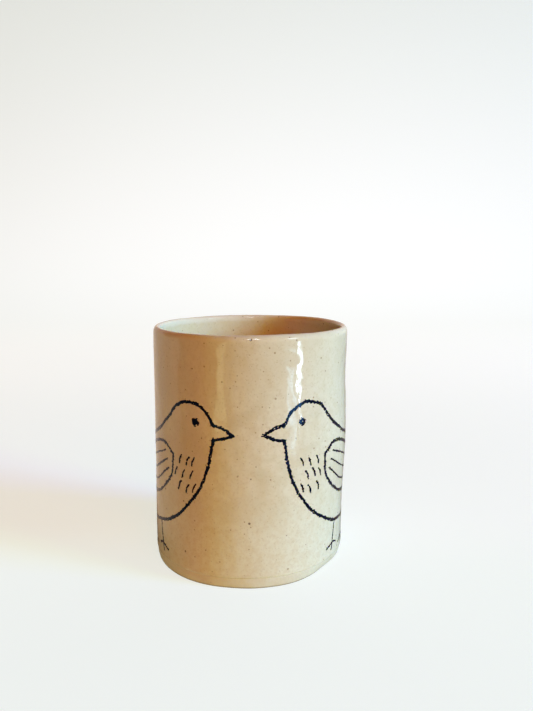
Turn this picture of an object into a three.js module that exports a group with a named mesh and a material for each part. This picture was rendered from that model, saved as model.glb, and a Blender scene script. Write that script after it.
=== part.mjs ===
// A straight-sided stoneware drinking cup, in millimetres.
// Z is the cup's axis and points up. The origin is the centre of the underside.
// Every piece is a solid of revolution: the rolled wall, the base disc it stands on,
// the glaze outside and the liner glaze inside.
import * as THREE from 'three';

// Overall form, measured over the glaze.
const CUP_HEIGHT = 97.3;
const RIM_RADIUS = 40;           // where the lip starts
const FOOT_RADIUS = 39.5;        // where the glaze ends above the foot
const WALL_THICKNESS = 4;        // clay and both glaze coats, below the thinned band

// The lip is two quarter ellipses that meet at its crest.
const LIP_OUTER_DEPTH = 1.4;     // from the outside surface in to the crest
const LIP_OUTER_HEIGHT = 2.4;
const LIP_INNER_DEPTH = 1.3;     // from the crest in to the inside surface
const LIP_INNER_HEIGHT = 1.4;
const LIP_STEPS = 5;

// Below the lip the wall swells smoothly, inwards only, to its full thickness.
const THINNED_HEIGHT = 16;
const THINNED_STEPS = 4;

// Base and foot.
const BASE_THICKNESS = 5.5;
const FOOT_HEIGHT = 4.4;         // bare bevelled band below the glaze line
const FOOT_BEVEL = 0.9;          // how far the underside is set in from the foot radius
const COVE_RADIUS = 4;           // inside corner between wall and floor, over the glaze
const COVE_STEPS = 4;

const GLAZE_THICKNESS = 0.35;
const BOND_GAP = 0.02;           // keeps touching solids just clear of each other
const SEGMENTS = 72;             // around the axis

const CREST_RADIUS = RIM_RADIUS - LIP_OUTER_DEPTH;

const STONEWARE_COLOR = 0xb9976b;
const FOOT_COLOR = 0xae9470;
const GLAZE_COLOR = 0xd3c09a;
const LINER_COLOR = 0xcdc2a2;
const CLAY_ROUGHNESS = 0.85;
const GLAZE_ROUGHNESS = 0.2;

function outerRadius(z) {
  return FOOT_RADIUS + (RIM_RADIUS - FOOT_RADIUS) * (z / CUP_HEIGHT);
}

// Points along an elliptical arc, from one angle to another, both ends included.
function arc(centre, radiusR, radiusZ, fromAngle, toAngle, steps) {
  const points = [];
  for (let step = 0; step <= steps; step += 1) {
    const angle = fromAngle + (toAngle - fromAngle) * (step / steps);
    points.push(new THREE.Vector2(
      centre.x + radiusR * Math.cos(angle),
      centre.y + radiusZ * Math.sin(angle),
    ));
  }
  return points;
}

// The outside surface from a lower height up to the crest, set in by a depth.
function outsideProfile(lowerZ, depth) {
  const lipCentre = new THREE.Vector2(CREST_RADIUS, CUP_HEIGHT - LIP_OUTER_HEIGHT);
  const lip = arc(
    lipCentre,
    outerRadius(lipCentre.y) - CREST_RADIUS - depth,
    LIP_OUTER_HEIGHT - depth,
    0,
    Math.PI / 2,
    LIP_STEPS,
  );
  return [new THREE.Vector2(outerRadius(lowerZ) - depth, lowerZ), ...lip];
}

// The inside of the thinned band, from just under the lip down to the full wall's radius.
function thinnedBand(innerRadius, depth) {
  const lipRadius = CREST_RADIUS - LIP_INNER_DEPTH;
  const topZ = CUP_HEIGHT - LIP_INNER_HEIGHT;
  const points = [];
  for (let step = 1; step <= THINNED_STEPS; step += 1) {
    const share = step / THINNED_STEPS;
    const thinning = (1 + Math.cos(Math.PI * share)) / 2;
    points.push(new THREE.Vector2(
      innerRadius + (lipRadius - innerRadius) * thinning + depth,
      topZ - THINNED_HEIGHT * share,
    ));
  }
  return points;
}

// The inside surface from the crest down the wall and round the cove, set in by a depth.
// It ends where the cove meets the floor.
function insideProfile(depth, crestGap) {
  const lipCentre = new THREE.Vector2(CREST_RADIUS - crestGap, CUP_HEIGHT - LIP_INNER_HEIGHT);
  const innerRadius = outerRadius(CUP_HEIGHT / 2) - WALL_THICKNESS;
  const lip = arc(
    lipCentre,
    LIP_INNER_DEPTH - crestGap - depth,
    LIP_INNER_HEIGHT - depth,
    Math.PI / 2,
    Math.PI,
    LIP_STEPS,
  );
  const floorZ = BASE_THICKNESS + GLAZE_THICKNESS;
  const coveCentre = new THREE.Vector2(innerRadius - COVE_RADIUS, floorZ + COVE_RADIUS);
  const coveRadius = COVE_RADIUS + depth;
  const cove = arc(coveCentre, coveRadius, coveRadius, 0, -Math.PI / 2, COVE_STEPS);
  return [...lip, ...thinnedBand(innerRadius, depth), ...cove];
}

// Turns a closed profile about the axis and stands the axis up along Z.
function turned(profile) {
  const geometry = new THREE.LatheGeometry(profile, SEGMENTS);
  geometry.rotateX(Math.PI / 2);
  return geometry;
}

function closed(profile) {
  return [...profile, profile[0].clone()];
}

function wallGeometry() {
  const bottomZ = BASE_THICKNESS + BOND_GAP;
  const outside = outsideProfile(bottomZ, GLAZE_THICKNESS);
  const inside = insideProfile(GLAZE_THICKNESS, 0);
  inside.shift();
  inside.at(-1).y = bottomZ;
  return turned(closed([...outside, ...inside]));
}

function baseGeometry() {
  const sideRadius = outerRadius(FOOT_HEIGHT) - GLAZE_THICKNESS;
  return turned([
    new THREE.Vector2(0, 0),
    new THREE.Vector2(FOOT_RADIUS - FOOT_BEVEL, 0),
    new THREE.Vector2(sideRadius, FOOT_HEIGHT),
    new THREE.Vector2(sideRadius, BASE_THICKNESS),
    new THREE.Vector2(0, BASE_THICKNESS),
  ]);
}

function outerGlazeGeometry() {
  const surface = outsideProfile(FOOT_HEIGHT, 0);
  const bonded = outsideProfile(FOOT_HEIGHT, GLAZE_THICKNESS - BOND_GAP).reverse();
  return turned(closed([...surface, ...bonded]));
}

function linerGlazeGeometry() {
  const floorZ = BASE_THICKNESS + GLAZE_THICKNESS;
  const bondedFloorZ = BASE_THICKNESS + 2 * BOND_GAP;
  const surface = insideProfile(0, BOND_GAP);
  const bonded = insideProfile(GLAZE_THICKNESS - 2 * BOND_GAP, BOND_GAP).reverse();
  bonded[0].y = bondedFloorZ;
  return turned([
    new THREE.Vector2(0, bondedFloorZ),
    ...bonded,
    ...surface,
    new THREE.Vector2(0, floorZ),
  ]);
}

function piece(name, geometry, color, roughness) {
  const material = new THREE.MeshStandardMaterial({ color, roughness, metalness: 0 });
  const mesh = new THREE.Mesh(geometry, material);
  mesh.name = name;
  return mesh;
}

const cup = new THREE.Group();
cup.add(
  piece('base', baseGeometry(), FOOT_COLOR, CLAY_ROUGHNESS),
  piece('wall', wallGeometry(), STONEWARE_COLOR, CLAY_ROUGHNESS),
  piece('outer_glaze', outerGlazeGeometry(), GLAZE_COLOR, GLAZE_ROUGHNESS),
  piece('liner_glaze', linerGlazeGeometry(), LINER_COLOR, GLAZE_ROUGHNESS),
);

export default cup;
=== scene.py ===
"""Visual model of a handmade stoneware tumbler with two birds drawn on its wall.

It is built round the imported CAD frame: the main radii and heights come from the CAD
pieces' boxes, and the rest are small details that the CAD solids leave out. Lengths are in
metres. An angle is measured round the cup from the front, positive towards +X.
"""
import math
from collections import namedtuple

import bpy
import mathutils
import numpy as np
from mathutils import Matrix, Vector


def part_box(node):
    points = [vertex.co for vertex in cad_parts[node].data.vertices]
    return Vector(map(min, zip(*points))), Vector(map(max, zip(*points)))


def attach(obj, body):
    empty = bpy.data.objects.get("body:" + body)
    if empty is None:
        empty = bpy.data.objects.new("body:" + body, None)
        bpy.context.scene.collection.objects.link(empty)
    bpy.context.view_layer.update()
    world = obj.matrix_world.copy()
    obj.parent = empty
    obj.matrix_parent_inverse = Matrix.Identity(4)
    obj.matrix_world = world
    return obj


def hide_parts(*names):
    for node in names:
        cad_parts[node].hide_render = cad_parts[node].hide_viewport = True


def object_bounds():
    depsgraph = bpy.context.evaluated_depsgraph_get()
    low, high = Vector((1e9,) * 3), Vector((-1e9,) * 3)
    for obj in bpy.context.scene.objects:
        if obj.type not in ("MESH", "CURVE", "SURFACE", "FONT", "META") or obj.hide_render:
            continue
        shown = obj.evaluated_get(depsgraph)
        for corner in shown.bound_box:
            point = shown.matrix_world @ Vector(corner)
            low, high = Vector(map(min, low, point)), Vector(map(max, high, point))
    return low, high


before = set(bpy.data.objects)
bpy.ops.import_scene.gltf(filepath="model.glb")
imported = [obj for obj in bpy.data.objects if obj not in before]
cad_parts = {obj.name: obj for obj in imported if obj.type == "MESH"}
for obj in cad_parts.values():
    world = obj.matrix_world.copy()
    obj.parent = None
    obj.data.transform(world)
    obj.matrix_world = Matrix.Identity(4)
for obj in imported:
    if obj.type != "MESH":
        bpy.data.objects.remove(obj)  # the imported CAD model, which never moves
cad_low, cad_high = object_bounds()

MM = 0.001

# The form, from the frame.
CUP_HEIGHT = cad_high.z
RIM_RADIUS = cad_high.x  # outside, where the lip starts
CREST_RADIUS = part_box("liner_glaze")[1].x  # top of the lip, where the coats meet
GLAZE = CUP_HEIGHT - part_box("wall")[1].z  # thickness of each glaze coat
GLAZE_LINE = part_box("outer_glaze")[0].z  # the bare foot is below it
BASE_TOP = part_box("base")[1].z
FOOT_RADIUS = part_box("base")[1].x + GLAZE
FLOOR = BASE_TOP + GLAZE

# The form's details, as in the CAD solids.
WALL_THICKNESS = 4 * MM
LIP_OUTER_HEIGHT = 2.4 * MM
LIP_INNER_DEPTH = 1.3 * MM  # from the crest in to the inside surface
LIP_INNER_HEIGHT = 1.4 * MM
THINNED_HEIGHT = 16 * MM  # the wall gets thinner over this height below the lip
COVE_RADIUS = 4 * MM
INNER_RADIUS = (FOOT_RADIUS + RIM_RADIUS) / 2 - WALL_THICKNESS

# What the hand and the kiln leave.
LEAN = -1.0 * MM  # the foot's centre stands this far off the rim's, along X
LEAN_TOP = 62 * MM  # above it the cup stands straight
GLAZE_BEAD = 0.08 * MM  # the coat is thicker just above its wiped edge
BEAD_HEIGHT = 1.2 * MM
BEAD_REACH = 0.8 * MM
EDGE_ROUND = 0.4 * MM  # height over which the wiped edge rounds in to the clay
FOOT_BEVEL = 0.45 * MM
DEEP_BEVEL = 1.9 * MM  # added where the foot was pared further
DEEP_BEVEL_AT = math.radians(56)
DEEP_BEVEL_SPREAD = math.radians(19)
BEVEL_SWELL = 0.25 * MM  # the bevel is slightly crowned
BEVEL_OVERLAP = 0.5 * MM  # it runs this far up behind the coat
FOOT_EDGE = 0.35 * MM  # rounding of the underside's edge

Wave = namedtuple("Wave", "depth bends seed")  # more bends make shorter waves round the cup
RIM_WAVE = Wave(0.25 * MM, 1.5, 5)
LINE_WAVE = Wave(0.25 * MM, 2.2, 9)  # the wiped glaze line isn't level
LINE_WAVE_REACH = 5 * MM  # it dies out this far above the line
BEVEL_WAVE = Wave(0.2 * MM, 3.0, 13)

# Soft dents and swells, in degrees and millimetres; spread is round the cup, reach is up it.
HandMark = namedtuple("HandMark", "angle height spread reach depth")
HAND_MARKS = [
    HandMark(85, 79, 45, 9, -0.50),
    HandMark(85, 50, 40, 13, 0.30),
    HandMark(-85, 55, 45, 26, 0.35),
    HandMark(-35, 5, 22, 10, 0.40),
    HandMark(-12, 6, 14, 12, -0.20),
    HandMark(170, 38, 40, 20, 0.35),
    HandMark(-140, 80, 35, 14, -0.30),
]

Relief = namedtuple("Relief", "cell height seed")
GLAZE_RELIEF = [  # cell is the size of one swell of the surface
    Relief(26 * MM, 0.14 * MM, 1),
    Relief(9 * MM, 0.065 * MM, 2),
    Relief(4.2 * MM, 0.075 * MM, 3),
    Relief(2.0 * MM, 0.020 * MM, 4),
]
CLAY_TOOTH = Relief(2.5 * MM, 0.05 * MM, 21)

SEGMENTS = 432  # round the cup
WALL_STEP = 0.62 * MM  # between rows of the outside
LINER_STEP = 0.85 * MM
HIDDEN_STEP = 4 * MM  # between rows that another piece covers
LIP_STEPS = 18
HIDDEN_LIP_STEPS = 8
COVE_STEPS = 12
HIDDEN_COVE_STEPS = 6
EDGE_STEPS = 6  # up the rounded edge of the outer coat
UNDERSIDE_ROWS = 24
INNERMOST = 0.04  # the smallest ring of the underside, as a share of its edge
BEVEL_ROWS = 11
CREST_SLIVER = math.radians(0.6)  # a last thin row, so that the two coats shade as one
BOND_GAP = 0.01 * MM  # keeps the clay wall just clear of the coats
SEED_SHIFT = 17.31  # how far apart in the noise two seeds lie


# -------- shape helpers


def fade(value, start, end):
    """0 before start, 1 after end, smooth between them."""
    part = np.clip((value - start) / (end - start), 0, 1)
    return part * part * (3 - 2 * part)


def hill(value, width):
    """1 where value is 0, falling smoothly to nothing over about twice the width."""
    return np.exp(-((value / width) ** 2))


def rows_of(*columns):
    """An array whose last axis runs across the given columns."""
    return np.stack(columns, axis=-1)


def turn(angle, centre):
    """Signed angle from centre to angle, from -pi to pi."""
    return (angle - centre + np.pi) % (2 * np.pi) - np.pi


def noise(points, cell, seed):
    """Smooth repeatable noise, about -1 to 1, at an array of points in space."""
    flat = (points.reshape(-1, 3) / cell + seed * SEED_SHIFT).tolist()
    values = [mathutils.noise.noise(point) for point in flat]
    return np.array(values).reshape(points.shape[:-1])


def swells(points, layer):
    """How far one layer of relief lifts an array of points in space."""
    return layer.height * noise(points, layer.cell, layer.seed)


def on_cylinder(angle, radius, height):
    """Points in space from an angle round the cup, a radius and a height."""
    angle, radius, height = np.broadcast_arrays(angle, radius, height)
    return rows_of(radius * np.sin(angle), -radius * np.cos(angle), height)


def wandering(wave, angle):
    """How far an uneven line strays, round the cup and back to where it started."""
    return wave.depth * noise(on_cylinder(angle, wave.bends, 0.0), 1.0, wave.seed)


def outside_radius(height):
    """The glazed outside's radius, before the hand marks."""
    return FOOT_RADIUS + (RIM_RADIUS - FOOT_RADIUS) * height / CUP_HEIGHT


def hand_marks(angle, height):
    """How far the wall stands out from a true turned form."""
    total = np.zeros(np.broadcast(angle, height).shape)
    for mark in HAND_MARKS:
        across = hill(turn(angle, math.radians(mark.angle)), math.radians(mark.spread))
        total += mark.depth * MM * across * hill(height - mark.height * MM, mark.reach * MM)
    return total


def place(angle, radius, height, tilt, lift=0.0, glazed=True):
    """Points of the handmade cup, from points of the plain turned form.

    tilt is the outward normal's angle: 0 on the outside wall, a quarter turn on the lip's
    crest and a half turn on the inside wall. lift moves a point along that normal.
    """
    plain = on_cylinder(angle, radius, height)
    lift = lift + np.zeros(plain.shape[:-1])
    if glazed:
        for layer in GLAZE_RELIEF:
            lift += swells(plain, layer)
    wall_share = fade(radius, 0, INNER_RADIUS)
    new_radius = radius + wall_share * hand_marks(angle, height) + lift * np.cos(tilt)
    new_height = height + lift * np.sin(tilt)
    new_height += wandering(RIM_WAVE, angle) * fade(height, CUP_HEIGHT / 2, CUP_HEIGHT)
    points = on_cylinder(angle, new_radius, new_height)
    points[..., 0] += LEAN * wall_share * (1 - fade(height, 0.1 * LEAN_TOP, LEAN_TOP))
    return points


ANGLES = np.linspace(0, 2 * np.pi, SEGMENTS, endpoint=False)[None, :]


def tilt_of(profile):
    """The outward normal's angle at each point of a profile of (radius, height) rows."""
    run = np.gradient(profile, axis=0)
    return np.arctan2(-run[:, :1], run[:, 1:])


def ellipse_arc(centre, radii, start, end, steps):
    """Points of an elliptical arc from a start angle to an end angle."""
    angles = np.linspace(start, end, steps + 1)
    return rows_of(centre[0] + radii[0] * np.cos(angles), centre[1] + radii[1] * np.sin(angles))


def straight(start, end, step):
    """Points from start up to, but not including, end."""
    start, end = np.array(start), np.array(end)
    count = max(1, round(np.linalg.norm(end - start) / step))
    share = np.arange(count)[:, None] / count
    return start + (end - start) * share


# -------- profiles of the cup


def outside_lip(depth, steps):
    """The lip's outer quarter, from the wall to the crest, set in by a depth."""
    centre = (CREST_RADIUS, CUP_HEIGHT - LIP_OUTER_HEIGHT)
    radii = (outside_radius(centre[1]) - CREST_RADIUS - depth, LIP_OUTER_HEIGHT - depth)
    arc = ellipse_arc(centre, radii, 0, np.pi / 2 - CREST_SLIVER, steps)
    return np.vstack([arc, [CREST_RADIUS, CUP_HEIGHT - depth]])


def inside_lip(depth, steps):
    """The lip's inner quarter, from the crest to the wall, set in by a depth."""
    centre = (CREST_RADIUS, CUP_HEIGHT - LIP_INNER_HEIGHT)
    radii = (LIP_INNER_DEPTH - depth, LIP_INNER_HEIGHT - depth)
    arc = ellipse_arc(centre, radii, np.pi / 2 + CREST_SLIVER, np.pi, steps)
    return np.vstack([[CREST_RADIUS, CUP_HEIGHT - depth], arc])


def thinned_band(depth, step):
    """The inside below the lip, down to where the wall has its full thickness."""
    share = np.linspace(0, 1, round(THINNED_HEIGHT / step) + 1)[1:]
    thinning = (1 + np.cos(np.pi * share)) / 2
    radii = INNER_RADIUS + (CREST_RADIUS - LIP_INNER_DEPTH - INNER_RADIUS) * thinning + depth
    heights = CUP_HEIGHT - LIP_INNER_HEIGHT - THINNED_HEIGHT * share
    return rows_of(radii, heights)


def cove(depth, steps):
    """The inside corner between wall and floor, set in by a depth."""
    centre = (INNER_RADIUS - COVE_RADIUS, FLOOR + COVE_RADIUS)
    radius = COVE_RADIUS + depth
    return ellipse_arc(centre, (radius, radius), 0, -np.pi / 2, steps)


def outside_profile():
    """The outer coat's surface, from its wiped edge up to the lip's crest."""
    rise = EDGE_ROUND * (1 - np.cos(np.linspace(0, np.pi / 2, EDGE_STEPS + 1)))
    lip = outside_lip(0, LIP_STEPS)
    wall_heights = np.arange(GLAZE_LINE + EDGE_ROUND + WALL_STEP / 2, lip[0, 1], WALL_STEP)
    heights = np.concatenate([GLAZE_LINE + rise, wall_heights[:-1]])
    above = heights - GLAZE_LINE
    rounding = np.sqrt(1 - (1 - np.clip(above / EDGE_ROUND, 0, 1)) ** 2)
    bead = GLAZE_BEAD * hill(above - BEAD_HEIGHT, BEAD_REACH)
    radii = outside_radius(heights) - GLAZE + (GLAZE + bead) * rounding
    return np.vstack([rows_of(radii, heights), lip])


def inside_profile(depth, step, lip_steps):
    """The inside, from the crest down the wall and round the cove to near the floor's centre."""
    lip = inside_lip(depth, lip_steps)
    band = thinned_band(depth, step)
    corner = cove(depth, COVE_STEPS)
    wall = straight(band[-1], corner[0], step)[1:]
    floor = straight(corner[-1], (0, corner[-1][1]), step)[1:]
    return np.vstack([lip, band, wall, corner, floor])


# -------- meshes


def in_scene(made):
    bpy.context.scene.collection.objects.link(made)
    return made


def mesh_object(name, points, faces, sharp_edges=None):
    """A smooth-shaded mesh object; sharp_edges is a test of each edge's two vertex numbers."""
    mesh = bpy.data.meshes.new(name)
    mesh.from_pydata(points.tolist(), [], faces)
    mesh.shade_smooth()
    if sharp_edges is not None:
        ends = np.zeros(len(mesh.edges) * 2, dtype=np.int32)
        mesh.edges.foreach_get("vertices", ends)
        marks = mesh.attributes.new("sharp_edge", "BOOLEAN", "EDGE")
        marks.data.foreach_set("value", sharp_edges(ends.reshape(-1, 2)))
    if mesh.validate():
        raise ValueError(name + " has faulty faces")
    return in_scene(bpy.data.objects.new(name, mesh))


def revolved(name, rows, creases=(), poles=None):
    """A closed mesh from rows of points round the cup.

    The rows either close on themselves, or start and end at the two poles. Each row in
    creases stays a sharp edge.
    """
    count, around = rows.shape[:2]
    points = rows.reshape(-1, 3)
    here = np.arange(around)
    after = (here + 1) % around
    last = count if poles is None else count - 1
    faces = []
    for row in range(last):
        lower, upper = row * around, (row + 1) % count * around
        quads = rows_of(lower + here, lower + after, upper + after, upper + here)
        faces += quads.tolist()
    if poles is not None:
        points = np.vstack([points, poles])
        first_pole, last_pole = count * around, count * around + 1
        top = (count - 1) * around
        faces += [[first_pole, b, a] for a, b in zip(here.tolist(), after.tolist())]
        faces += [[top + a, top + b, last_pole] for a, b in zip(here.tolist(), after.tolist())]

    def on_crease(ends):
        row_of = ends // around
        return (row_of[:, 0] == row_of[:, 1]) & np.isin(row_of[:, 0], list(creases))

    return mesh_object(name, points, faces, on_crease)


def grid_of(profile, lift=0.0, glazed=True):
    """The handmade surface for every point of a profile and every angle."""
    return place(ANGLES, profile[:, :1], profile[:, 1:], tilt_of(profile), lift, glazed)


def waver_glaze_line(grid):
    """Lets the lower edge of the outer coat wander up and down a little."""
    near = 1 - fade(grid[..., 2], GLAZE_LINE, GLAZE_LINE + LINE_WAVE_REACH)
    grid[..., 2] += wandering(LINE_WAVE, ANGLES) * near
    return grid


def build_outer_glaze():
    surface = waver_glaze_line(grid_of(outside_profile()))
    lip = outside_lip(GLAZE, LIP_STEPS)
    heights = np.arange(GLAZE_LINE + HIDDEN_STEP / 2, lip[0, 1] - MM, HIDDEN_STEP)
    wall = rows_of(outside_radius(heights) - GLAZE, heights)
    bonded = grid_of(np.vstack([wall, lip]), glazed=False)[::-1]
    rows = np.concatenate([surface, bonded])
    return revolved("outer_glaze_coat", rows, creases=(0, len(surface) - 1, len(surface)))


def build_liner_glaze():
    surface = grid_of(inside_profile(0.0, LINER_STEP, LIP_STEPS))
    bonded = grid_of(inside_profile(GLAZE, HIDDEN_STEP, LIP_STEPS), glazed=False)[::-1]
    rows = np.concatenate([bonded, surface])
    centre = surface[-1].mean(axis=0)
    poles = [[centre[0], centre[1], bonded[0, 0, 2]], centre]
    return revolved("liner_glaze_coat", rows, creases=(len(bonded) - 1, len(bonded)), poles=poles)


def build_wall():
    lip = outside_lip(GLAZE, HIDDEN_LIP_STEPS)
    outside = straight((outside_radius(BASE_TOP) - GLAZE, BASE_TOP), lip[0], HIDDEN_STEP)
    inner_lip = inside_lip(GLAZE, HIDDEN_LIP_STEPS)[1:]
    band = thinned_band(GLAZE, HIDDEN_STEP)
    corner = cove(GLAZE, HIDDEN_COVE_STEPS)
    inside = straight(band[-1], corner[0], HIDDEN_STEP)[1:]
    profile = np.vstack([outside, lip, inner_lip, band, inside, corner])
    rows = grid_of(profile, lift=-BOND_GAP, glazed=False)
    return revolved("stoneware_wall", rows, creases=(0, len(rows) - 1))


def foot_bevel(angle):
    """How far the underside's edge is set in from the foot's side."""
    deep = DEEP_BEVEL * hill(turn(angle, DEEP_BEVEL_AT), DEEP_BEVEL_SPREAD)
    return FOOT_BEVEL + wandering(BEVEL_WAVE, angle) + deep


def build_base():
    side_radius = outside_radius(GLAZE_LINE) - GLAZE
    edge_radius = side_radius - foot_bevel(ANGLES)
    level = 0 * ANGLES
    rows = []

    def add_row(radius, height):
        tooth = swells(on_cylinder(ANGLES, radius, height), CLAY_TOOTH)
        radius = radius + tooth * fade(radius, 0, FOOT_RADIUS)
        rows.append(place(ANGLES, radius, height + level, 0.0, glazed=False)[0])

    for share in np.linspace(INNERMOST, 1, UNDERSIDE_ROWS):
        add_row(share * (edge_radius - FOOT_EDGE), 0.0)
    for corner in np.linspace(0.25, 1, 4) * np.pi / 4:
        add_row(edge_radius - FOOT_EDGE * (1 - np.sin(corner)), FOOT_EDGE * (1 - np.cos(corner)))
    low = FOOT_EDGE * (1 - np.cos(np.pi / 4))
    for share in np.linspace(0, 1, BEVEL_ROWS + 1)[1:]:
        swell = BEVEL_SWELL * np.sin(np.pi * share)
        radius = edge_radius + (side_radius - edge_radius) * share + swell
        add_row(radius, low + (GLAZE_LINE + BEVEL_OVERLAP - low) * share)
    crease = len(rows)
    for share in (1.0, 0.9, 0.5, 0.05):
        add_row(share * side_radius + level, BASE_TOP)
    poles = [[0, 0, 0], [0, 0, BASE_TOP]]
    return revolved("stoneware_base", np.array(rows), creases=(crease,), poles=poles)


# -------- the drawing

INK_CELL = 0.16 * MM  # the grid that a drawing is worked out on
INK_LIFT = 0.03 * MM  # how far the fired line stands above the coat
INK_ROOT = 0.10 * MM  # how far it reaches down into the coat
INK_EDGE = 0.5  # ink above this amount marks the wall
INK_FULL = 0.84  # the most ink a stroke lays down
INK_STEP = 0.2 * MM  # between the dabs that make a stroke
INK_MARGIN = 2.5 * MM  # clear grid round the drawing
PRESSURE_CHANGE = 0.3  # how much the hand's pressure varies along a stroke
PRESSURE_CELL = 3 * MM
PENCIL = 0.48 * MM  # one light stroke
GRAINS = [Relief(0.42 * MM, 0.36, 31), Relief(0.9 * MM, 0.34, 32)]

Mark = namedtuple("Mark", "path width")


def curve(points):
    """A smooth path through points given in millimetres, sampled at the dab step."""
    knots = np.array(points, dtype=float) * MM
    ends = [2 * knots[0] - knots[1], *knots, 2 * knots[-1] - knots[-2]]
    path = []
    for before, start, end, after in zip(ends, ends[1:], ends[2:], ends[3:]):
        count = max(2, round(np.linalg.norm(end - start) / INK_STEP))
        t = np.linspace(0, 1, count, endpoint=False)[:, None]
        square = (2 * before - 5 * start + 4 * end - after) * t**2
        cube = (3 * start - 3 * end + after - before) * t**3
        path.append(0.5 * (2 * start + (end - before) * t + square + cube))
    path.append(knots[-1:])
    return np.vstack(path)


def directions(path):
    """Unit vectors along a path and to the left of it."""
    run = np.gradient(path, axis=0)
    run /= np.maximum(np.linalg.norm(run, axis=-1, keepdims=True), 1e-9)
    return run, rows_of(-run[:, 1], run[:, 0])


def drift(chance, distance, cell):
    """Smooth random change along a stroke, about -1 to 1."""
    spots = rows_of(distance, 0 * distance, 0 * distance)
    return noise(spots, cell, chance.uniform(0, 50))


def unsteady(path, amount, cell, chance):
    """The path as a hand draws it, swaying from side to side by an amount in millimetres."""
    sway = drift(chance, np.arange(len(path)) * INK_STEP, cell * MM)
    return path + directions(path)[1] * (sway * amount * MM)[:, None]


def line(chance, points, width=0.9, passes=2, sway=0.3):
    """A line gone over a few times; width and sway are in millimetres."""
    path = curve(points)
    marks = []
    for _ in range(passes):
        drawn = unsteady(unsteady(path, sway, 6, chance), 0.5 * sway, 1.5, chance)
        marks.append(Mark(drawn, width * MM * chance.uniform(0.85, 1.1)))
    return marks


def hatching(chance, path, half, spacing):
    """Short slanting strokes across a path, which overshoot its half width unevenly."""
    run, side = directions(path)
    marks = []
    at = 0.0
    while at < len(path) - 1:
        here = int(at)
        reach = half[here] * chance.uniform(0.4, 1.15) + 0.1 * MM
        slant = chance.uniform(0.5, 1.3) * MM
        middle = path[here] + side[here] * half[here] * chance.uniform(-0.5, 0.5)
        stroke = side[here] * reach + run[here] * slant
        dabs = straight(middle - stroke, middle + stroke, INK_STEP)
        marks.append(Mark(dabs, PENCIL * chance.uniform(0.8, 1.2)))
        at += chance.uniform(0.5, 1.5) * spacing / INK_STEP
    return marks


def rope(chance, points, width=(1.4, 1.4), spacing=0.75):
    """A thick line made of two ragged strands, hatched with short strokes between them.

    width is the line's width at its two ends and spacing is between the short strokes, in
    millimetres.
    """
    path = unsteady(curve(points), 0.4, 6, chance)
    side = directions(path)[1]
    full = np.linspace(width[0], width[1], len(path)) * MM
    half = np.maximum(full - PENCIL, 0) / 2
    marks = hatching(chance, path, half, spacing * MM)
    between_edges = chance.uniform(-0.5, 0.5, round(full.mean() / (2.8 * PENCIL)))
    for offset in (-0.8, 0.8, *between_edges):
        strand = unsteady(path + side * (offset * half)[:, None], 0.3, 1.1, chance)
        marks.append(Mark(strand, PENCIL * chance.uniform(0.8, 1.1)))
    return marks


# A plain songbird in profile, as it stands on the right. Points are (round the wall from
# the front, height) in millimetres.
BEAK_TIP = (5.5, 60.5)
BROW = (13.5, 64)
THROAT = (13.5, 58)
RUMP = (84, 40.5)
VENT = (82, 28.5)
SHOULDER = (33, 50)
WING_TIP = (76, 34)
OUTLINE = [
    [BROW, (9.8, 62.8), BEAK_TIP],
    [THROAT, (9.8, 58.8), BEAK_TIP],
    [BROW, (16.5, 68.8), (22.5, 71.8), (29.5, 70.3), (35.5, 64.5), (46, 57), (62, 50.5), RUMP],
    [THROAT, (15, 50), (18.5, 40), (26, 29.5), (38, 21.5), (53, 18.5), (68, 21.5), VENT],
]
TAIL = [RUMP, (98, 35), (111, 30.5), (113, 27), (109, 24.5), (96, 27), VENT]
EYE = (21, 64.5)
EYE_RADIUS = 1.4
WING_TOP = [SHOULDER, (40, 53.5), (52, 50.5), (65, 43.5), WING_TIP]
WING_BOTTOM = [SHOULDER, (35, 40), (47, 31), (63, 29.5), WING_TIP]
FEET = [(42, 10.5), (54, 9.5)]
LEG = [(1.5, 9.5), (0.8, 5), (0, 0)]  # from the belly down to a foot
TOES = [(-5, -1.6), (-1.2, -3), (3.5, -1.2)]
BREAST_STROKE = [(0, 0), (0.9, -1.5), (1.3, -3.1)]


def sided(points, side):
    """Points of the bird on the right, mirrored to the left when side is -1."""
    return np.array(points, dtype=float) * (side, 1)


def eye(chance, side):
    """A plain round dot."""
    turned = np.linspace(0, 2 * np.pi, 14)
    circle = 0.5 * EYE_RADIUS * rows_of(np.cos(turned), np.sin(turned))
    return line(chance, sided(circle + EYE, side), 1.3 * EYE_RADIUS, 1, 0.1)


def wing(chance, side):
    """A folded wing, with three feathers marked along it."""
    top, bottom = np.array(WING_TOP), np.array(WING_BOTTOM)
    marks = line(chance, sided(top, side), 1.1) + line(chance, sided(bottom, side), 1.1)
    for share in (0.25, 0.5, 0.75):
        feather = top + share * (bottom - top)
        marks += line(chance, sided(feather[1:], side), 0.8, 1)
    return marks


def legs(chance, side):
    marks = []
    for foot in np.array(FEET):
        marks += line(chance, sided(foot + LEG, side), 0.9, 1)
        for toe in TOES:
            marks += line(chance, sided([foot, foot + toe], side), 0.9, 1)
    return marks


def breast_strokes(chance, side):
    """Three rows of three short strokes between the breast and the wing."""
    marks = []
    for row in range(3):
        for number in range(3):
            start = np.array([21 + 3.6 * number + 1.8 * (row % 2), 50.5 - 5.5 * row])
            start += chance.uniform(-0.6, 0.6, 2)
            marks += line(chance, sided(start + BREAST_STROKE, side), 0.8, 1)
    return marks


def songbird(chance, side):
    """Marks of one bird, looking to the front; side is -1 on the left and 1 on the right."""
    marks = []
    for points in OUTLINE:
        marks += rope(chance, sided(points, side), (1.3, 1.4))
    marks += line(chance, sided(TAIL, side), 1.1)
    marks += eye(chance, side) + wing(chance, side)
    marks += legs(chance, side) + breast_strokes(chance, side)
    return marks


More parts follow.
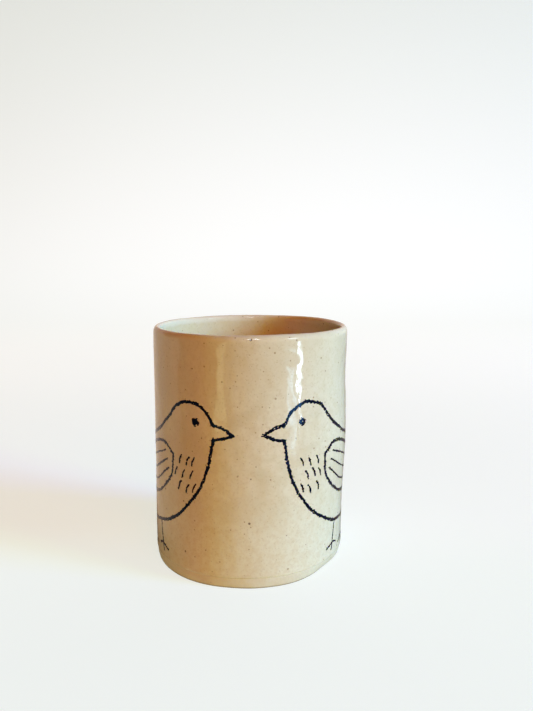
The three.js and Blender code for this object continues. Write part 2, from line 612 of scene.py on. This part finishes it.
def lay_ink(marks, chance):
    """The amount of ink on a grid over the unrolled wall, and the grid's coordinates."""
    paths = np.vstack([mark.path for mark in marks])
    low, high = paths.min(axis=0) - INK_MARGIN, paths.max(axis=0) + INK_MARGIN
    along = np.arange(low[0], high[0], INK_CELL)
    up = np.arange(low[1], high[1], INK_CELL)
    ink = np.zeros((len(up), len(along)))
    for mark in marks:
        distance = np.arange(len(mark.path)) * INK_STEP
        pressure = 1 + PRESSURE_CHANGE * drift(chance, distance, PRESSURE_CELL)
        for (x, y), half in zip(mark.path, mark.width / 2 * pressure):
            press(ink, along, up, x, y, half)
    return ink, along, up


def press(ink, along, up, x, y, half):
    """One round dab: the ink falls off to the edge amount at its half width."""
    reach = 2 * half
    first, last = np.searchsorted(along, (x - reach, x + reach))
    bottom, top = np.searchsorted(up, (y - reach, y + reach))
    away = np.hypot(along[None, first:last] - x, up[bottom:top, None] - y)
    dab = np.minimum(1 - away / (2 * half), INK_FULL)
    patch = ink[bottom:top, first:last]
    np.maximum(patch, dab, out=patch)


def roughen(ink, along, up):
    """Breaks the ink up into grains, as a soft underglaze pencil does on bare clay."""
    rows, columns = np.nonzero(ink > 0.1)
    spots = rows_of(along[columns], up[rows], np.zeros(len(rows)))
    for grain in GRAINS:
        ink[rows, columns] += swells(spots, grain)


def bridge_corners(inside):
    """Fills one cell wherever two inked cells touch only at a corner."""
    for _ in range(4):
        a, b = inside[:-1, :-1], inside[:-1, 1:]
        c, d = inside[1:, 1:], inside[1:, :-1]
        rising, falling = a & c & ~b & ~d, b & d & ~a & ~c
        if not (rising.any() or falling.any()):
            break
        b |= rising
        a |= falling


def drop_specks(inside):
    """Removes inked cells with fewer than two inked neighbours."""
    padded = np.pad(inside, 1).astype(int)
    around = padded[:-2, 1:-1] + padded[2:, 1:-1] + padded[1:-1, :-2] + padded[1:-1, 2:]
    inside &= around >= 2


def snap_to_edge(ink, inside, along, up):
    """Grid points, with those on the drawing's edge moved on to the line where ink runs out."""
    touching = np.zeros((4, *ink.shape), dtype=bool)
    touching[0, :-1, :-1] = inside
    touching[1, :-1, 1:] = inside
    touching[2, 1:, :-1] = inside
    touching[3, 1:, 1:] = inside
    used, edge = touching.any(axis=0), touching.any(axis=0) & ~touching.all(axis=0)
    slope_up, slope_along = np.gradient(ink)
    steepness = np.maximum(slope_up**2 + slope_along**2, 1e-3)
    push = np.where(edge, (INK_EDGE - ink) / steepness, 0.0)
    x = along[None, :] + INK_CELL * np.clip(push * slope_along, -0.5, 0.5)
    y = up[:, None] + INK_CELL * np.clip(push * slope_up, -0.5, 0.5)
    return used, x, y


def inked_cells(ink):
    """Which cells of the grid hold enough ink to mark the wall."""
    inside = (ink[:-1, :-1] + ink[1:, :-1] + ink[:-1, 1:] + ink[1:, 1:]) / 4 > INK_EDGE
    drop_specks(inside)
    bridge_corners(inside)
    return inside


def drawing_faces(inside, number, count):
    """The faces of a drawing's solid, and the vertex pairs along its top and bottom rims.

    number is each grid point's vertex on the top; its twin below comes count later.
    """
    a, b = number[:-1, :-1], number[:-1, 1:]
    c, d = number[1:, 1:], number[1:, :-1]
    top = rows_of(a, b, c, d)[inside]
    padded = np.pad(inside, 1)
    sides = [  # the cell beyond each side of a cell, and the side's ends
        (padded[:-2, 1:-1], a, b),
        (padded[1:-1, 2:], b, c),
        (padded[2:, 1:-1], c, d),
        (padded[1:-1, :-2], d, a),
    ]
    rims = []
    for beyond, start, end in sides:
        open_side = inside & ~beyond
        rims.append(rows_of(start[open_side], end[open_side]))
    rim = np.vstack(rims)
    band = rows_of(rim[:, 1], rim[:, 0], rim[:, 0] + count, rim[:, 1] + count)
    return np.vstack([top, top[:, ::-1] + count, band]), np.vstack([rim, rim + count])


def build_drawing(name, side, seed):
    """A thin closed solid in the shape of a drawing's inked marks, sunk into the outer coat."""
    chance = np.random.default_rng(seed)
    ink, along, up = lay_ink(songbird(chance, side), chance)
    roughen(ink, along, up)
    inside = inked_cells(ink)
    used, x, y = snap_to_edge(ink, inside, along, up)
    count = int(used.sum())
    number = np.full(used.shape, -1)
    number[used] = np.arange(count)
    angle, height = x[used] / RIM_RADIUS, y[used]
    front = place(angle, outside_radius(height), height, 0.0, lift=INK_LIFT)
    back = front - on_cylinder(angle, INK_LIFT + INK_ROOT, 0.0)
    quads, rim = drawing_faces(inside, number, count)

    def key(pairs):
        return pairs.min(axis=1) * (2 * count) + pairs.max(axis=1)

    def on_rim(ends):
        return np.isin(key(ends.astype(np.int64)), key(rim))

    return mesh_object(name, np.vstack([front, back]), quads.tolist(), on_rim)


# -------- materials


def set_inputs(tree, made, inputs):
    """Sets a node's inputs; a value is a number, a colour or another node's output."""
    for key, value in inputs.items():
        if isinstance(value, bpy.types.NodeSocket):
            tree.links.new(value, made.inputs[key])
        else:
            made.inputs[key].default_value = value


def node(tree, kind, inputs=None, **settings):
    """Adds a shader node; kind is its type's name without the prefix."""
    made = tree.nodes.new("ShaderNode" + kind)
    for key, value in settings.items():
        setattr(made, key, value)
    set_inputs(tree, made, inputs or {})
    return made


def emptied_tree(owner):
    """The node tree of a material or a world, with nothing in it."""
    owner.use_nodes = True
    owner.node_tree.nodes.clear()
    return owner.node_tree


def new_material(name):
    """A node material with only its output and one Principled BSDF, and its coordinates."""
    material = bpy.data.materials.new(name)
    tree = emptied_tree(material)
    shader = node(tree, "BsdfPrincipled")
    node(tree, "OutputMaterial", {"Surface": shader.outputs[0]})
    coordinates = node(tree, "TexCoord").outputs["Object"]
    return material, tree, shader, coordinates


def math_node(tree, operation, *values):
    made = node(tree, "Math", dict(enumerate(values)), operation=operation)
    return made.outputs[0]


def both(tree, first, second):
    """The product of two masks or numbers."""
    return math_node(tree, "MULTIPLY", first, second)


def vector_node(tree, operation, *values):
    """A vector operation's result, which is a number for LENGTH and DOT_PRODUCT."""
    made = node(tree, "VectorMath", dict(enumerate(values)), operation=operation)
    return made.outputs["Value" if operation in ("LENGTH", "DOT_PRODUCT") else "Vector"]


def coordinate(tree, vector, axis):
    return node(tree, "SeparateXYZ", {"Vector": vector}).outputs[axis]


def ramp(tree, value, start, end):
    """0 where value is start, 1 where it is end, smooth between them."""
    inputs = {"Value": value, "From Min": start, "From Max": end}
    return node(tree, "MapRange", inputs, interpolation_type="SMOOTHSTEP").outputs["Result"]


def mix(tree, share, first, second, blend_type="MIX"):
    """A colour between two colours, each a node's output or red, green and blue."""
    first, second = (
        colour if isinstance(colour, bpy.types.NodeSocket) else (*colour, 1)
        for colour in (first, second)
    )
    inputs = {0: share, 6: first, 7: second}
    made = node(tree, "Mix", inputs, data_type="RGBA", blend_type=blend_type)
    return made.outputs[2]


def layered(tree, colour, layers):
    """Lays tones over a colour; a layer is where it goes, its strength and its tone."""
    for where, strength, tone in layers:
        colour = mix(tree, both(tree, where, strength), colour, tone)
    return colour


def cloud(tree, coordinates, cell, detail=2.0, roughness=0.5, distortion=0.0):
    """Noise from 0 to 1 whose patches are about a cell across."""
    inputs = {
        "Vector": coordinates,
        "Scale": 1 / cell,
        "Detail": detail,
        "Roughness": roughness,
        "Distortion": distortion,
    }
    return node(tree, "TexNoise", inputs).outputs["Fac"]


def specks(tree, coordinates, cell, size, share):
    """1 inside scattered round specks, at most one in each cell, and 0 elsewhere."""
    cells = node(tree, "TexVoronoi", {"Vector": coordinates, "Scale": 1 / cell})
    chance = node(tree, "SeparateColor", {"Color": cells.outputs["Color"]})
    present = math_node(tree, "LESS_THAN", chance.outputs["Red"], share)
    least, spread = 0.4 * size / cell, size / cell
    reach = math_node(tree, "MULTIPLY_ADD", chance.outputs["Green"], spread, least)
    distance = math_node(tree, "DIVIDE", cells.outputs["Distance"], reach)
    return both(tree, ramp(tree, distance, 1.0, 0.7), present)


def bumped(tree, layers):
    """A normal from a list of (height output, distance in metres), finest last."""
    normal = None
    for height, distance in layers:
        inputs = {"Height": height, "Distance": distance, "Strength": 1.0}
        if normal is not None:
            inputs["Normal"] = normal
        normal = node(tree, "Bump", inputs).outputs["Normal"]
    return normal


Tones = namedtuple("Tones", "pale warm high low lip lip_share")
OUTER_TONES = Tones(
    pale=(0.63, 0.575, 0.42),  # this tone and the next cloud into each other
    warm=(0.57, 0.50, 0.34),
    high=(0.60, 0.53, 0.365),  # near the rim; darker here as painted shade
    low=(0.64, 0.625, 0.485),  # near the foot; paler here as painted light from the floor's bounce
    lip=(0.65, 0.585, 0.41),  # the thin coat on the lip
    lip_share=0.45,
)
LINER_TONES = Tones(
    pale=(0.64, 0.56, 0.335),
    warm=(0.61, 0.51, 0.29),
    high=(0.63, 0.54, 0.35),
    low=(0.56, 0.49, 0.34),
    # the thin coat on the lip; its paleness is partly painted light on the lip's up-facing top
    lip=(0.78, 0.72, 0.56),
    lip_share=0.5,
)
DULL_TONE = (0.53, 0.49, 0.34)
PORE_TONE = (0.36, 0.27, 0.15)

Speckle = namedtuple("Speckle", "cell size share strength tone")
SPECKLES = {
    "grain": Speckle(1.1 * MM, 0.20 * MM, 0.55, 0.30, (0.26, 0.16, 0.08)),
    "faint": Speckle(2.4 * MM, 0.36 * MM, 0.40, 0.55, (0.20, 0.11, 0.05)),
    "iron": Speckle(4.4 * MM, 0.42 * MM, 0.35, 0.75, (0.075, 0.040, 0.020)),
}


def glaze_colour(tree, place_on, tones):
    """The coat's tone before its specks."""
    height = coordinate(tree, place_on, "Z")
    broad = ramp(tree, cloud(tree, place_on, 20 * MM, 3, 0.6, 0.4), 0.42, 0.60)
    dull = ramp(tree, cloud(tree, place_on, 8 * MM, 4, 0.6, 0.3), 0.47, 0.64)
    # On the outer coat the tone near the rim is painted shade, and the tone near the foot is painted
    # light from the floor's bounce.
    near_rim = ramp(tree, height, 0.60 * CUP_HEIGHT, 1.0 * CUP_HEIGHT)
    near_foot = ramp(tree, height, 0.55 * CUP_HEIGHT, 0.10 * CUP_HEIGHT)
    mottle = ramp(tree, cloud(tree, place_on, 2.4 * MM, 4, 0.65), 0.38, 0.68)
    pores = ramp(tree, cloud(tree, place_on, 0.9 * MM, 3, 0.6), 0.50, 0.72)
    ragged = both(tree, cloud(tree, place_on, 4 * MM), 1.2 * MM)
    lip_height = math_node(tree, "ADD", height, ragged)
    on_lip = ramp(tree, lip_height, CUP_HEIGHT - 2.6 * MM, CUP_HEIGHT - 1.0 * MM)
    layers = [
        (dull, 0.40, DULL_TONE),
        (near_rim, 0.7, tones.high),
        (near_foot, 0.8, tones.low),
        (mottle, 0.6, tones.warm),
        (pores, 0.22, PORE_TONE),
        (on_lip, tones.lip_share, tones.lip),
    ]
    return layered(tree, mix(tree, broad, tones.pale, tones.warm), layers)


def glaze_material(name, tones):
    """A clear gloss coat over speckled stoneware."""
    material, tree, shader, place_on = new_material(name)
    colour = glaze_colour(tree, place_on, tones)
    speckled = {}
    for kind, speckle in SPECKLES.items():
        where = specks(tree, place_on, speckle.cell, speckle.size, speckle.share)
        colour = layered(tree, colour, [(where, speckle.strength, speckle.tone)])
        speckled[kind] = where
    smears = cloud(tree, place_on, 6 * MM, 3)
    roughness = node(tree, "MapRange", {"Value": smears, "To Min": 0.05, "To Max": 0.11})
    relief = [
        (cloud(tree, place_on, 2.2 * MM, 2, 0.6), 0.022 * MM),
        (cloud(tree, place_on, 0.6 * MM, 2), 0.004 * MM),
        (speckled["iron"], -0.04 * MM),
        (speckled["grain"], -0.01 * MM),
    ]
    inputs = {
        "Base Color": colour,
        "Roughness": roughness.outputs["Result"],
        "Normal": bumped(tree, relief),
        "IOR": 1.50,
    }
    set_inputs(tree, shader, inputs)
    return material


def bare_clay_material():
    """Unglazed stoneware: matt, toasted, with grog and iron showing, and darkened along the foot's
    bottom edge as painted contact shadow.
    """
    material, tree, shader, place_on = new_material("bare_stoneware")
    toast = ramp(tree, cloud(tree, place_on, 14 * MM, 4, 0.6), 0.35, 0.65)
    grain = ramp(tree, cloud(tree, place_on, 0.8 * MM, 3, 0.65), 0.40, 0.62)
    grog = specks(tree, place_on, 2.2 * MM, 0.32 * MM, 0.6)
    # painted contact shadow: darker over the lowest millimetre, where the foot meets the floor
    painted_contact_shadow = ramp(tree, coordinate(tree, place_on, "Z"), 0.9 * MM, 0.15 * MM)
    layers = [
        (grain, 0.35, (0.66, 0.62, 0.49)),
        (grog, 0.5, (0.20, 0.12, 0.07)),
        (painted_contact_shadow, 0.8, (0.20, 0.14, 0.08)),
    ]
    colour = layered(tree, mix(tree, toast, (0.60, 0.57, 0.44), (0.56, 0.51, 0.37)), layers)
    tooth = cloud(tree, place_on, 0.6 * MM, 4, 0.7)
    drag = cloud(tree, place_on, 5 * MM, 2)
    normal = bumped(tree, [(drag, 0.10 * MM), (tooth, 0.07 * MM), (grog, 0.05 * MM)])
    set_inputs(tree, shader, {"Base Color": colour, "Normal": normal, "Roughness": 0.55})
    return material


def underglaze_material():
    """Blue-black underglaze pencil under the clear coat."""
    material, tree, shader, place_on = new_material("underglaze_black")
    thin = ramp(tree, cloud(tree, place_on, 1.1 * MM, 3, 0.6), 0.45, 0.75)
    dusty = ramp(tree, cloud(tree, place_on, 0.7 * MM, 3, 0.6, 2.0), 0.52, 0.70)
    colour = mix(tree, thin, (0.002, 0.003, 0.008), (0.005, 0.011, 0.032))
    colour = layered(tree, colour, [(dusty, 0.22, (0.030, 0.032, 0.042))])
    peel = cloud(tree, place_on, 2.0 * MM, 2, 0.55)
    fine = cloud(tree, place_on, 0.5 * MM, 2)
    inputs = {
        "Base Color": colour,
        "Normal": bumped(tree, [(peel, 0.022 * MM), (fine, 0.010 * MM)]),
        "Roughness": 0.20,
        "Specular IOR Level": 0.35,
        "Specular Tint": (0.15, 0.45, 0.9, 1),
    }
    set_inputs(tree, shader, inputs)
    return material


# -------- assembly


def add_piece(piece, material, slot, *nodes):
    piece.data.materials.append(material)
    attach(piece, "root")
    if nodes:
        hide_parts(*nodes)


def build_cup():
    clay = bare_clay_material()
    ink = underglaze_material()
    outer = glaze_material("outer_glaze", OUTER_TONES)
    liner = glaze_material("liner_glaze", LINER_TONES)
    add_piece(build_wall(), clay, "stoneware", "wall")
    add_piece(build_base(), clay, "bare_stoneware", "base")
    add_piece(build_outer_glaze(), outer, "outer_glaze", "outer_glaze")
    add_piece(build_liner_glaze(), liner, "liner_glaze", "liner_glaze")
    add_piece(build_drawing("left_bird_drawing", -1, 11), ink, "underglaze_black")
    add_piece(build_drawing("right_bird_drawing", 1, 12), ink, "underglaze_black")


# -------- stage, light and camera

CAMERA_PLACE = (6.6 * MM, -277.8 * MM, 127.9 * MM)
CAMERA_PITCH = math.radians(8.98)  # below the horizon
CAMERA_LENS = 34.0  # millimetres, on a 36 mm long side

Glow = namedtuple("Glow", "azimuth elevation focus colour")
GLOWS = [  # soft room light; a higher focus is a narrower glow
    Glow(20, 15, 12, (3.30, 0.98, 0.02)),
    Glow(0, 50, 6, (0.75, 0.20, 0.08)),
    Glow(195, 25, 12, (0.75, 0.70, 0.58)),
]

# What the gloss reflects, in metres and degrees. taper is the foot's width as a share of the
# top's, soft is the share of a half width that fades out, and fade is the height that does.
Card = namedtuple(
    "Card", "name azimuth distance width taper low high strength colour soft fade patchy"
)
CARDS = [
    Card("window_top", 53.4, 1.5, 0.37, 1, 0.44, 0.80, 11.0, (0.70, 0.88, 1.0), 0.3, 0.02, 0),
    Card("far_window", 4.0, 1.5, 0.30, 1, 0.85, 1.15, 24.0, (0.80, 0.92, 1.0), 0.1, 0.02, 0),
    Card("window_core", 54.6, 0.2157, 0.010, 0.25, 0, 0.068, 40, (0.60, 0.82, 1.0), 0.3, 0.04, 0.3),
    Card("window_halo", 44.3, 0.1870, 0.041, 1, 0, 0.057, 9.0, (0.42, 0.74, 1.0), 0.4, 0.015, 0.8),
    Card("doorway", -29.6, 0.2280, 0.046, 1, 0.006, 0.075, 1.8, (1.0, 1.0, 0.56), 0.35, 0.01, 0),
]
PATCH_CELL = 9 * MM

Lamp = namedtuple("Lamp", "name azimuth elevation power colour")
LAMPS = [  # two colours of daylight from one side
    Lamp("window_room", 65, 14, 70.0, (0.50, 1.0, 0.20)),
    Lamp("window_sky", 73, 14.5, 140.0, (0.13, 0.24, 1.0)),
]
LAMP_DISTANCE = 3.0
LAMP_SIZE = (0.75, 1.0)
LAMP_AIM = (0, 0, 0.05)

FLOOR_WIDTH = 6.0
FLOOR_FRONT = 3.0
BACK_WALL = 1.5
SWEEP_RADIUS = 0.6
BACK_HEIGHT = 3.0
BACKDROP_SPOT = (0.1, 1.2, 0.05)  # the backdrop is brightest here
BACKDROP_SPREAD = (1.24, 0.7, 0.68)


def seen_paper(tree, place_on, behind, before):
    """The paper's colour and glow to the camera: even, and brightest behind the cup. In front of the
    cup it takes less light and glows more, as painted light that lightens the cup's cast shadow
    there.
    """
    away = vector_node(tree, "SUBTRACT", place_on, BACKDROP_SPOT)
    away = vector_node(tree, "DIVIDE", away, BACKDROP_SPREAD)
    shade = ramp(tree, vector_node(tree, "LENGTH", away), 0.0, 1.6)
    glow = mix(tree, shade, (0.84, 0.88, 0.87), (0.56, 0.615, 0.575))
    # painted light: extra glow in front of the cup, which lightens the cup's cast shadow there
    glow = mix(tree, before, glow, (0.115, 0.118, 0.122), "ADD")
    colour = mix(tree, behind, (0.50, 0.50, 0.52), (0.20, 0.20, 0.20))
    return mix(tree, before, colour, (0.30, 0.30, 0.31)), glow


def lighting_glow(tree, place_on, behind):
    """The paper's glow where it lights the cup, strongest close to the cup."""
    near_cup = ramp(tree, vector_node(tree, "LENGTH", place_on), 0.50, 0.12)
    floor = mix(tree, near_cup, (0.08, 0.08, 0.05), (0.47, 0.46, 0.27))
    return mix(tree, behind, floor, (0.42, 0.41, 0.26))


def reflected_glow(tree, place_on, depth, behind):
    """The paper's glow in the cup's gloss: bright behind it and to its left."""
    left = ramp(tree, coordinate(tree, place_on, "X"), -0.045, -0.08)
    beside = both(tree, left, ramp(tree, depth, -0.06, -0.01))
    floor = mix(tree, beside, (0.03, 0.03, 0.04), (0.50, 0.42, 0.36))
    return mix(tree, behind, floor, (0.50, 0.50, 0.46))


def stage_material():
    """White paper: even and bright to the camera, dimmer and warmer where it lights the cup."""
    material, tree, shader, place_on = new_material("stage_paper")
    rays = node(tree, "LightPath").outputs
    depth = coordinate(tree, place_on, "Y")
    behind = ramp(tree, depth, 0.3, 1.1)
    before = ramp(tree, depth, 0.03, -0.03)
    colour, glow = seen_paper(tree, place_on, behind, before)
    reflected = reflected_glow(tree, place_on, depth, behind)
    lighting = lighting_glow(tree, place_on, behind)
    unseen_glow = mix(tree, rays["Is Glossy Ray"], lighting, reflected)
    # painted shade in the reflection: the paper in front of the cup is dark in the cup's gloss
    dark_front = both(tree, rays["Is Glossy Ray"], before)
    unseen = mix(tree, dark_front, (0.42, 0.36, 0.27), (0.08, 0.08, 0.07))
    inputs = {
        "Base Color": mix(tree, rays["Is Camera Ray"], unseen, colour),
        "Emission Color": mix(tree, rays["Is Camera Ray"], unseen_glow, glow),
        "Emission Strength": 1.0,
        "Roughness": 1.0,
        "Specular IOR Level": 0.0,
    }
    set_inputs(tree, shader, inputs)
    return material


def build_stage():
    """A pale floor that sweeps up into a back wall."""
    start = BACK_WALL - SWEEP_RADIUS
    section = [(-FLOOR_FRONT, 0.0)]
    for turned in np.linspace(0, np.pi / 2, 24):
        rise = SWEEP_RADIUS * (1 - math.cos(turned))
        section.append((start + SWEEP_RADIUS * math.sin(turned), rise))
    section.append((BACK_WALL, BACK_HEIGHT))
    points = [(x, y, z) for y, z in section for x in (-FLOOR_WIDTH / 2, FLOOR_WIDTH / 2)]
    faces = [(2 * k, 2 * k + 1, 2 * k + 3, 2 * k + 2) for k in range(len(section) - 1)]
    floor = mesh_object("stage_sweep", np.array(points), faces)
    floor.data.materials.append(stage_material())


def area_light(lamp):
    """A soft rectangular light that the gloss doesn't show."""
    light = bpy.data.lights.new(lamp.name, "AREA")
    light.shape = "RECTANGLE"
    light.size, light.size_y = LAMP_SIZE
    light.energy = lamp.power
    light.color = lamp.colour
    made = in_scene(bpy.data.objects.new(lamp.name, light))
    target = mathutils.Vector(LAMP_AIM)
    away = mathutils.Vector(direction(lamp.azimuth, lamp.elevation))
    made.location = target + LAMP_DISTANCE * away
    made.rotation_euler = (made.location - target).to_track_quat("Z", "Y").to_euler()
    made.visible_glossy = False


def card_material(card, across):
    """A glow that fades out towards the card's sides and its foot, and may be patchy."""
    material = bpy.data.materials.new(card.name)
    tree = emptied_tree(material)
    place_on = node(tree, "TexCoord").outputs["Object"]
    off_middle = math_node(tree, "ABSOLUTE", vector_node(tree, "DOT_PRODUCT", place_on, across))
    half = card.width / 2
    sides = ramp(tree, off_middle, half, (1 - card.soft) * half)
    foot = ramp(tree, coordinate(tree, place_on, "Z"), card.low, card.low + card.fade)
    patches = ramp(tree, cloud(tree, place_on, PATCH_CELL, 2, 0.5), 0.40, 0.60)
    even = math_node(tree, "MULTIPLY_ADD", patches, -card.patchy, 1.0)
    share = both(tree, both(tree, sides, foot), even)
    strength = both(tree, share, card.strength)
    glow = node(tree, "Emission", {"Color": (*card.colour, 1), "Strength": strength})
    node(tree, "OutputMaterial", {"Surface": glow.outputs[0]})
    return material


def reflection_card(card):
    """A bright strip that only shows as a reflection in the glaze."""
    angle = math.radians(card.azimuth)
    middle = on_cylinder(angle, card.distance, 0.0)
    across = on_cylinder(angle + math.pi / 2, 1.0, 0.0)
    points = []
    for z, width in ((card.low, card.taper * card.width), (card.high, card.width)):
        points += [middle + across * side * width / 2 + (0, 0, z) for side in (-1, 1)]
    strip = mesh_object(card.name, np.array(points), [(0, 1, 3, 2)])
    strip.data.materials.append(card_material(card, across.tolist()))
    for kind in ("camera", "diffuse", "shadow", "transmission", "volume_scatter"):
        setattr(strip, "visible_" + kind, False)


def direction(azimuth, elevation):
    """A unit vector from an angle round the cup and an angle above the floor, in degrees."""
    level, rise = math.cos(math.radians(elevation)), math.sin(math.radians(elevation))
    return on_cylinder(math.radians(azimuth), level, rise).tolist()


def glow_colour(tree, view, glow):
    """One soft glow of the surroundings, brightest where the view meets its middle."""
    aim = direction(glow.azimuth, glow.elevation)
    ahead = math_node(tree, "MAXIMUM", vector_node(tree, "DOT_PRODUCT", view, aim), 0.0)
    return mix(tree, math_node(tree, "POWER", ahead, glow.focus), (0, 0, 0), glow.colour)


def build_world():
    """Soft glows from a few directions light the cup; the camera sees plain pale surroundings."""
    world = bpy.data.worlds.new("surroundings")
    tree = emptied_tree(world)
    view = node(tree, "TexCoord").outputs["Generated"]
    room, *others = [glow_colour(tree, view, glow) for glow in GLOWS]
    for colour in others:
        room = mix(tree, 1.0, room, colour, "ADD")
    rays = node(tree, "LightPath").outputs
    in_gloss = both(tree, rays["Is Glossy Ray"], 0.9)
    lit = mix(tree, in_gloss, room, (0.22, 0.20, 0.15))
    seen = mix(tree, rays["Is Camera Ray"], lit, (0.84, 0.86, 0.86))
    background = node(tree, "Background", {"Color": seen, "Strength": 1.0})
    node(tree, "OutputWorld", {"Surface": background.outputs[0]})
    bpy.context.scene.world = world


def build_lights():
    build_world()
    for lamp in LAMPS:
        area_light(lamp)
    for card in CARDS:
        reflection_card(card)


def build_camera():
    lens = bpy.data.cameras.new("camera")
    lens.lens = CAMERA_LENS
    lens.sensor_width = 36.0
    camera = in_scene(bpy.data.objects.new("camera", lens))
    camera.location = CAMERA_PLACE
    camera.rotation_euler = (math.pi / 2 - CAMERA_PITCH, 0, 0)
    bpy.context.scene.camera = camera


build_cup()
build_stage()
build_lights()
build_camera()
bpy.context.scene.view_settings.view_transform = "Standard"
